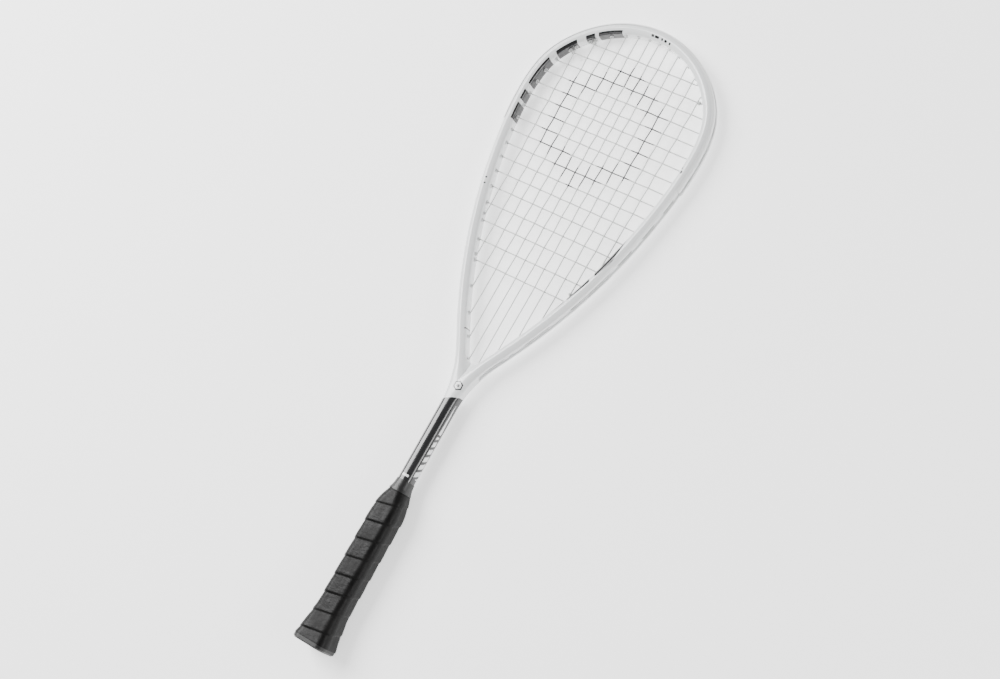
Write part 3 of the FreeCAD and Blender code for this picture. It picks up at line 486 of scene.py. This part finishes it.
def frame_paint():
    """The frame's paint and clear coat."""
    material, tree, shader = new_material("frame_paint")
    place, x, y, z = object_place(tree)
    wrap = tree.nodes.new("ShaderNodeUVMap")
    wrap.uv_map = "wrap"
    split = tree.nodes.new("ShaderNodeSeparateXYZ")
    tree.links.new(wrap.outputs[0], split.inputs[0])
    along, across = split.outputs[0], split.outputs[1]
    slanted = maths(tree, "SUBTRACT", y, maths(tree, "MULTIPLY", x, PAINT_SLANT))
    shaft = maths(tree, "LESS_THAN", slanted, PAINT_LINE)
    # a plain hexagon outline with a dot at the throat
    off_x = maths(tree, "ABSOLUTE", maths(tree, "SUBTRACT", x, 2.6 * MM))
    off_y = maths(tree, "ABSOLUTE", maths(tree, "SUBTRACT", y, 283.6 * MM))
    side = maths(tree, "ADD", maths(tree, "MULTIPLY", off_x, 0.5), maths(tree, "MULTIPLY", off_y, 0.866))
    reach = maths(tree, "MAXIMUM", off_x, side)
    upper = maths(tree, "GREATER_THAN", z, 0.0)
    outline = between(tree, reach, 3.3 * MM, 4.5 * MM)
    emblem = any_of(tree, outline, maths(tree, "LESS_THAN", reach, 1.5 * MM))
    marks = any_of(tree, paint_marks(tree, along, across), all_of(tree, emblem, upper))
    # a tapered stripe and a row of dashes up the right flank of the shaft, and a short bar above the collar
    turn = maths(tree, "ARCTAN2", z, x)
    middle = ranged(tree, y, 0.184, 0.262, 0.12, 0.28)
    half = ranged(tree, y, 0.184, 0.266, 0.5, 0.03)
    off = maths(tree, "ABSOLUTE", maths(tree, "SUBTRACT", turn, middle))
    flank = maths(tree, "LESS_THAN", off, half)
    stripe = all_of(tree, flank, between(tree, y, 0.2335, 0.2655))
    swing = maths(tree, "ADD", y, maths(tree, "MULTIPLY", turn, 4.0 * MM))
    beat = maths(tree, "FRACT", maths(tree, "MULTIPLY", swing, 1 / 0.0082))
    dashes = all_of(tree, flank, between(tree, y, 0.1845, 0.231), maths(tree, "LESS_THAN", beat, 0.62))
    short_bar = all_of(tree, between(tree, turn, 1.1, 1.9), between(tree, y, 0.1835, 0.1858))
    white = any_of(tree, stripe, dashes, short_bar)
    shade = noise(tree, place, 9.0, 2.0)
    tone = mixed(tree, ranged(tree, shade, 0.35, 0.65, 0.0, 1.0), PAINT_WHITE, (0.83, 0.845, 0.85, 1))
    specks = noise(tree, place, 1400.0, 1.0)
    black = mixed(tree, ranged(tree, specks, 0.45, 0.8, 0.0, 1.0), PAINT_BLACK, (0.016, 0.016, 0.018, 1))
    body = mixed(tree, shaft, tone, mixed(tree, white, black, tone))
    tree.links.new(mixed(tree, marks, body, black), shader.inputs["Base Color"])
    haze = noise(tree, place, 60.0, 4.0)
    tree.links.new(ranged(tree, haze, 0.3, 0.7, 0.2, 0.3), shader.inputs["Roughness"])
    shader.inputs["Coat Weight"].default_value = 0.7
    shader.inputs["Coat Roughness"].default_value = 0.06
    orange_peel = noise(tree, place, 900.0, 1.0)
    bumped(tree, shader, orange_peel, 0.05, 0.1 * MM)
    return material


painted_frame.data.materials.append(frame_paint())
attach(painted_frame, "racket")
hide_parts("frame")


# ---------------------------------------------------------------- head guard and grommet strips
# White moulded nylon: a bumper round the crown, a thin strip down each side and a short one at each
# side of the throat, all held in the groove by the strings, with a barrel through the beam at each hole.

def moulded_nylon():
    """Satin white nylon with a faint moulded grain and a slight cloud in its tone."""
    material, tree, shader = new_material("moulded_nylon")
    place, x, y, z = object_place(tree)
    cloud = noise(tree, place, 25.0, 3.0)
    share = ranged(tree, cloud, 0.3, 0.7, 0.0, 1.0)
    tone = mixed(tree, share, (0.87, 0.875, 0.87, 1), (0.8, 0.81, 0.81, 1))
    tree.links.new(tone, shader.inputs["Base Color"])
    tree.links.new(ranged(tree, cloud, 0.3, 0.7, 0.32, 0.46), shader.inputs["Roughness"])
    shader.inputs["Subsurface Weight"].default_value = 0.08
    shader.inputs["Subsurface Radius"].default_value = (0.001, 0.001, 0.001)
    bumped(tree, shader, noise(tree, place, 2600.0, 2.0), 0.12, 0.08 * MM)
    return material


nylon = moulded_nylon()
STRIPS = (
    "head_guard", "side_grommets_left", "side_grommets_right",
    "throat_grommets_left", "throat_grommets_right",
)
for name in STRIPS:
    nodes[name].data.materials.clear()
    nodes[name].data.materials.append(nylon)


# ---------------------------------------------------------------- strings
# Two lengths of multifilament nylon, mains and crosses, woven over and under and tied off in four
# knots. Black ink is wiped on through a stencil, here a plain hexagon ring.

STENCIL_CENTRE = (-4 * MM, 574 * MM)
STENCIL_SIZE = 50 * MM
STENCIL_HALF_LINE = 9.5 * MM


def string_nylon():
    """White nylon filament with a twist under the surface and the stencilled ink on top."""
    material, tree, shader = new_material("string_nylon")
    place, x, y, z = object_place(tree)
    across = maths(tree, "ABSOLUTE", maths(tree, "SUBTRACT", x, STENCIL_CENTRE[0]))
    along = maths(tree, "ABSOLUTE", maths(tree, "SUBTRACT", y, STENCIL_CENTRE[1]))
    slant = maths(tree, "ADD", maths(tree, "MULTIPLY", across, 0.5), maths(tree, "MULTIPLY", along, 0.866))
    reach = maths(tree, "MAXIMUM", across, slant)
    ring = between(tree, reach, STENCIL_SIZE - STENCIL_HALF_LINE, STENCIL_SIZE + STENCIL_HALF_LINE)
    worn = noise(tree, place, 700.0, 2.0)
    ink = maths(tree, "MULTIPLY", ring, ranged(tree, worn, 0.3, 0.42, 0.6, 1.0))
    fibre = noise(tree, place, 1500.0, 3.0)
    tone = mixed(tree, ranged(tree, fibre, 0.3, 0.7, 0.0, 1.0), (0.62, 0.63, 0.62, 1), (0.5, 0.51, 0.5, 1))
    tree.links.new(mixed(tree, ink, tone, (0.012, 0.012, 0.014, 1)), shader.inputs["Base Color"])
    tree.links.new(ranged(tree, fibre, 0.3, 0.7, 0.22, 0.38), shader.inputs["Roughness"])
    bumped(tree, shader, fibre, 0.2, 0.05 * MM)
    return material


filament = string_nylon()
for name in ("main_string", "cross_string", "string_knots"):
    nodes[name].data.materials.clear()
    nodes[name].data.materials.append(filament)


# ---------------------------------------------------------------- wound grip
# A soft polyurethane tape, wound over the handle shells from the butt cap to the shaft with each turn
# lapping the one below it, so that its edge stands proud in a spiral. The top turn is cut to a taper.

GRIP_SECTIONS = [
    (5.0, 38.5, 33.0, 9.0), (14.0, 35.5, 30.5, 9.0), (24.0, 33.3, 29.0, 8.7), (31.0, 31.4, 27.7, 8.3),
    (38.0, 29.8, 26.3, 8.0), (46.0, 29.5, 26.0, 8.0), (142.0, 29.5, 26.0, 8.0), (150.0, 28.6, 25.4, 8.2),
    (158.0, 25.8, 24.0, 8.6), (165.0, 22.2, 21.8, 8.9), (171.0, 18.4, 19.6, 9.0),
]
GRIP_ROWS = 220
GRIP_AROUND = 120


def section_at(along):
    """The grip's width, depth and corner radius at a distance from the butt."""
    for a, b in zip(GRIP_SECTIONS, GRIP_SECTIONS[1:]):
        if along <= b[0]:
            share = (along - a[0]) / (b[0] - a[0])
            return [p + (q - p) * share for p, q in zip(a[1:], b[1:])]
    return list(GRIP_SECTIONS[-1][1:])


def section_point(share, width, depth, radius):
    """A point of a rounded rectangle at a share of the way round it, from +X towards +Z."""
    flat_w = width - 2 * radius
    flat_d = depth - 2 * radius
    quarter = radius * math.pi / 2
    distance = share % 1.0 * (2 * flat_w + 2 * flat_d + 4 * quarter)
    x, z = width / 2, 0.0
    parts = [
        ("side", flat_d / 2), ("corner", quarter), ("top", flat_w), ("corner", quarter), ("side", flat_d)
    ]
    parts += [("corner", quarter), ("top", flat_w), ("corner", quarter), ("side", flat_d / 2)]
    heading = math.pi / 2
    for kind, length in parts:
        step = min(distance, length)
        if kind == "corner":
            turn = step / radius
            x += radius * (math.sin(heading + turn) - math.sin(heading))
            z -= radius * (math.cos(heading + turn) - math.cos(heading))
            heading += turn
        else:
            x += step * math.cos(heading)
            z += step * math.sin(heading)
        distance -= step
        if distance <= 0:
            break
    return x, z


def grip_sleeve():
    """The sleeve before its turns are raised: outside, rounded ends and inside."""
    first, last = GRIP_SECTIONS[0][0], GRIP_SECTIONS[-1][0]
    rings = [(first + 0.6, -1.6), (first + 0.05, -0.9)]
    rings += [(first + (last - first) * row / GRIP_ROWS, 0.0) for row in range(GRIP_ROWS + 1)]
    rings += [(last + 0.15, -0.35), (last - 0.3, -0.72), (first + 6, -1.6)]
    vertices, faces, wrap, raised = [], [], [], []
    for along, grow in rings:
        width, depth, radius = section_at(along)
        for step in range(GRIP_AROUND):
            share = step / GRIP_AROUND
            x, z = section_point(share, width + 2 * grow, depth + 2 * grow, radius + grow)
            vertices.append(Vector((x, along, z)) * MM)
            raised.append(1.0 if grow == 0 else 0.0)
            wrap.append((share, along * MM))
    for row in range(len(rings)):
        here, there = row * GRIP_AROUND, (row + 1) % len(rings) * GRIP_AROUND
        for step in range(GRIP_AROUND):
            following = (step + 1) % GRIP_AROUND
            faces.append((here + step, here + following, there + following, there + step))
    return vertices, faces, wrap, raised


def field(tree, kind, values=(), **settings):
    """One geometry node with its settings and inputs: its first output."""
    node = tree.nodes.new(kind)
    for key, value in settings.items():
        setattr(node, key, value)
    for value, socket in zip(values, [s for s in node.inputs if s.enabled]):
        join(tree, value, socket)
    return next(socket for socket in node.outputs if socket.enabled)


def new_tree(name, inputs):
    """A geometry tree with a mesh input, named number inputs and a material: (tree, input sockets)."""
    tree = bpy.data.node_groups.new(name, "GeometryNodeTree")
    tree.interface.new_socket("Mesh", in_out="INPUT", socket_type="NodeSocketGeometry")
    for label in inputs:
        tree.interface.new_socket(label, in_out="INPUT", socket_type="NodeSocketFloat")
    tree.interface.new_socket("Material", in_out="INPUT", socket_type="NodeSocketMaterial")
    tree.interface.new_socket("Mesh", in_out="OUTPUT", socket_type="NodeSocketGeometry")
    source = tree.nodes.new("NodeGroupInput")
    return tree, source.outputs


def finish_tree(tree, geometry, material):
    """End a tree in Realize Instances and Set Material."""
    realized = field(tree, "GeometryNodeRealizeInstances", [geometry])
    painted = tree.nodes.new("GeometryNodeSetMaterial")
    tree.links.new(realized, painted.inputs["Geometry"])
    tree.links.new(material, painted.inputs["Material"])
    tree.links.new(painted.outputs[0], tree.nodes.new("NodeGroupOutput").inputs[0])


def applied(piece, tree, values, material):
    """Run a tree on a piece with its named values, and leave the result as a plain mesh."""
    modifier = piece.modifiers.new(tree.name, "NODES")
    modifier.node_group = tree
    for item in tree.interface.items_tree:
        if item.in_out == "INPUT" and item.name in values:
            modifier[item.identifier] = values[item.name]
        if item.in_out == "INPUT" and item.name == "Material":
            modifier[item.identifier] = material
    piece.update_tag()
    bpy.context.view_layer.update()
    graph = bpy.context.evaluated_depsgraph_get()
    mesh = bpy.data.meshes.new_from_object(piece.evaluated_get(graph), depsgraph=graph)
    piece.modifiers.remove(modifier)
    old = piece.data
    piece.data = mesh
    mesh.name = piece.name
    bpy.data.meshes.remove(old)
    return piece


def winding_tree():
    """Raise the turns of a wound tape: each turn is highest just above the edge of the one below."""
    tree, source = new_tree("tape_winding", ["Pitch", "Lap height", "Edge width", "Wrinkle height"])
    around = field(tree, "GeometryNodeInputNamedAttribute", ["around"], data_type="FLOAT")
    raised = field(tree, "GeometryNodeInputNamedAttribute", ["raised"], data_type="FLOAT")
    position = field(tree, "GeometryNodeInputPosition")
    split = tree.nodes.new("ShaderNodeSeparateXYZ")
    tree.links.new(position, split.inputs[0])
    turns = maths(tree, "DIVIDE", split.outputs[1], source["Pitch"])
    phase = maths(tree, "FRACT", maths(tree, "ADD", turns, around))
    distance = maths(tree, "MULTIPLY", phase, source["Pitch"])
    from_edge = maths(tree, "DIVIDE", distance, source["Edge width"])
    hollow = maths(tree, "EXPONENT", maths(tree, "MULTIPLY", from_edge, -2.2))
    edge = maths(tree, "SUBTRACT", 1.0, hollow)
    fall = maths(tree, "SUBTRACT", 1.0, maths(tree, "POWER", phase, 1.6))
    lap = maths(tree, "MULTIPLY", maths(tree, "MULTIPLY", edge, fall), source["Lap height"])
    noise_node = tree.nodes.new("ShaderNodeTexNoise")
    noise_node.noise_dimensions = "3D"
    noise_node.inputs["Scale"].default_value = 170.0
    noise_node.inputs["Detail"].default_value = 2.0
    level = maths(tree, "SUBTRACT", noise_node.outputs[0], 0.5)
    wrinkle = maths(tree, "MULTIPLY", level, source["Wrinkle height"])
    height = maths(tree, "MULTIPLY", maths(tree, "ADD", lap, wrinkle), raised)
    scale_node = tree.nodes.new("ShaderNodeVectorMath")
    scale_node.operation = "SCALE"
    tree.links.new(field(tree, "GeometryNodeInputNormal"), scale_node.inputs[0])
    tree.links.new(height, scale_node.inputs["Scale"])
    mover = tree.nodes.new("GeometryNodeSetPosition")
    tree.links.new(source["Mesh"], mover.inputs["Geometry"])
    tree.links.new(scale_node.outputs[0], mover.inputs["Offset"])
    finish_tree(tree, mover.outputs[0], source["Material"])
    return tree


def grip_leather():
    """Black polyurethane tape: fine pores, soft creases along the turns and a slight polish from use."""
    material, tree, shader = new_material("grip_leather")
    place, x, y, z = object_place(tree)
    wrap = tree.nodes.new("ShaderNodeUVMap")
    wrap.uv_map = "wrap"
    split = tree.nodes.new("ShaderNodeSeparateXYZ")
    tree.links.new(wrap.outputs[0], split.inputs[0])
    cloud = noise(tree, place, 55.0, 4.0)
    share = ranged(tree, cloud, 0.3, 0.7, 0.0, 1.0)
    tone = mixed(tree, share, (0.002, 0.002, 0.002, 1), (0.005, 0.0048, 0.0046, 1))
    tree.links.new(tone, shader.inputs["Base Color"])
    tree.links.new(ranged(tree, cloud, 0.3, 0.7, 0.34, 0.5), shader.inputs["Roughness"])
    shader.inputs["Specular IOR Level"].default_value = 0.16
    shader.inputs["Sheen Weight"].default_value = 0.01
    shader.inputs["Sheen Roughness"].default_value = 0.5
    pores = tree.nodes.new("ShaderNodeTexVoronoi")
    pores.inputs["Scale"].default_value = 1500.0
    tree.links.new(place, pores.inputs["Vector"])
    crease = noise(tree, place, 160.0, 5.0, 0.6, (1.0, 2.2, 1.0))
    under = bumped(tree, shader, crease, 0.35, 0.9 * MM)
    bumped(tree, shader, pores.outputs["Distance"], 0.25, 0.12 * MM, under)
    return material


vertices, faces, wrap, raised = grip_sleeve()
wound_grip = merged_mesh("wound_grip", vertices, faces, wrap, 60.0)
around = wound_grip.data.attributes.new("around", "FLOAT", "POINT")
height = wound_grip.data.attributes.new("raised", "FLOAT", "POINT")
for index, (share, _) in enumerate(wrap):
    around.data[index].value = share
    height.data[index].value = raised[index]
applied(
    wound_grip,
    winding_tree(),
    {"Pitch": 19.5 * MM, "Lap height": 0.75 * MM, "Edge width": 0.9 * MM, "Wrinkle height": 0.35 * MM},
    grip_leather(),
)
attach(wound_grip, "racket")
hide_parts("grip_tape")


# ---------------------------------------------------------------- butt cap, staples and shells
# The cap is moulded plastic with a fine spark-eroded grain. The foam shells and the two staples are
# under the tape; they show only where the cap and tape are taken off.

def plain_moulding(name, colour, other, roughness, grain):
    """A moulded finish with a slight cloud in its colour and a grain in its surface."""
    material, tree, shader = new_material(name)
    place, *_ = object_place(tree)
    cloud = noise(tree, place, 40.0, 3.0)
    share = ranged(tree, cloud, 0.3, 0.7, 0.0, 1.0)
    tree.links.new(mixed(tree, share, colour, other), shader.inputs["Base Color"])
    gloss = ranged(tree, cloud, 0.3, 0.7, roughness - 0.05, roughness + 0.08)
    tree.links.new(gloss, shader.inputs["Roughness"])
    bumped(tree, shader, noise(tree, place, grain, 2.0), 0.3, 0.1 * MM)
    return material


RUBBER_DARK = (0.005, 0.005, 0.005, 1)
RUBBER_PALE = (0.009, 0.009, 0.009, 1)
FOAM_DARK = (0.2, 0.2, 0.19, 1)
FOAM_PALE = (0.26, 0.25, 0.24, 1)
FILM_DARK = (0.005, 0.005, 0.006, 1)
finishes = {
    "butt_cap": plain_moulding("cap_plastic", RUBBER_DARK, RUBBER_PALE, 0.42, 1800.0),
    "handle_shell_front": plain_moulding("shell_foam", FOAM_DARK, FOAM_PALE, 0.8, 900.0),
    "butt_staples": plain_moulding("staple_wire", (0.55, 0.55, 0.56, 1), (0.5, 0.5, 0.51, 1), 0.35, 2500.0),
    "finishing_tape": plain_moulding("finishing_film", FILM_DARK, RUBBER_PALE, 0.3, 700.0),
    "collar": plain_moulding("collar_rubber", RUBBER_DARK, RUBBER_PALE, 0.4, 1500.0),
}
finishes["handle_shell_back"] = finishes["handle_shell_front"]
for name, finish in finishes.items():
    nodes[name].data.materials.clear()
    nodes[name].data.materials.append(finish)


# ---------------------------------------------------------------- studio
# The racket lies on a pale floor, which is tilted a little because the butt is deeper than the hoop.
# The camera stands to the right of the racket's middle, well above it.

FLOOR_REACH = 6.0
BUTT_LOW = -16.55 * MM
HEAD_LOW = -9.05 * MM
HEAD_AT = 0.68


def floor_height(y):
    """The floor's height under a distance from the butt."""
    return BUTT_LOW + (HEAD_LOW - BUTT_LOW) * y / HEAD_AT


floor_mesh = bpy.data.meshes.new("floor")
corners = [(-1, -1), (1, -1), (1, 1), (-1, 1)]
floor_points = [(a * FLOOR_REACH, b * FLOOR_REACH, floor_height(b * FLOOR_REACH)) for a, b in corners]
floor_mesh.from_pydata(floor_points, [], [(0, 1, 2, 3)])
floor = bpy.data.objects.new("floor", floor_mesh)
bpy.context.scene.collection.objects.link(floor)
floor_material, _, floor_shader = new_material("floor_paper")
floor_shader.inputs["Base Color"].default_value = (0.95, 0.95, 0.95, 1)
floor_shader.inputs["Roughness"].default_value = 0.9
floor_shader.inputs["Emission Color"].default_value = (1, 1, 1, 1)
floor_shader.inputs["Emission Strength"].default_value = 1.1
floor_mesh.materials.append(floor_material)

camera_data = bpy.data.cameras.new("camera")
camera_data.lens = 76.54
camera_data.sensor_width = 36.0
camera_data.clip_end = 50.0
camera = bpy.data.objects.new("camera", camera_data)
bpy.context.scene.collection.objects.link(camera)
CAMERA_PLACE = Vector((0.9836, 0.1288, 1.7908))
CAMERA_AIM = Vector((0.0129, 0.3424, 0))
CAMERA_ROLL = math.radians(-49.61)
camera.location = CAMERA_PLACE
camera.rotation_euler = (
    (CAMERA_AIM - CAMERA_PLACE).to_track_quat("-Z", "Y") @ Quaternion((0, 0, 1), CAMERA_ROLL)
).to_euler()
bpy.context.scene.camera = camera


def soft_light(name, place, target, width, depth, power):
    """A rectangular soft box at a place, turned to a target."""
    light = bpy.data.lights.new(name, "AREA")
    light.shape = "RECTANGLE"
    light.size = width
    light.size_y = depth
    light.energy = power
    lamp = bpy.data.objects.new(name, light)
    lamp.location = place
    lamp.rotation_euler = (Vector(target) - Vector(place)).to_track_quat("-Z", "Y").to_euler()
    bpy.context.scene.collection.objects.link(lamp)


soft_light("key", (-1.7, 0.7, 1.7), (0, 0.35, 0), 1.5, 1.9, 150)
soft_light("side", (2.0, 0.6, 0.9), (0, 0.35, 0), 1.6, 0.5, 26)
soft_light("low", (0.2, -1.9, 1.0), (0, 0.35, 0), 1.6, 0.5, 12)
world = bpy.data.worlds.new("studio")
world.use_nodes = True
world.node_tree.nodes["Background"].inputs[0].default_value = (1, 1, 1, 1)
world.node_tree.nodes["Background"].inputs[1].default_value = 0.32
bpy.context.scene.world = world
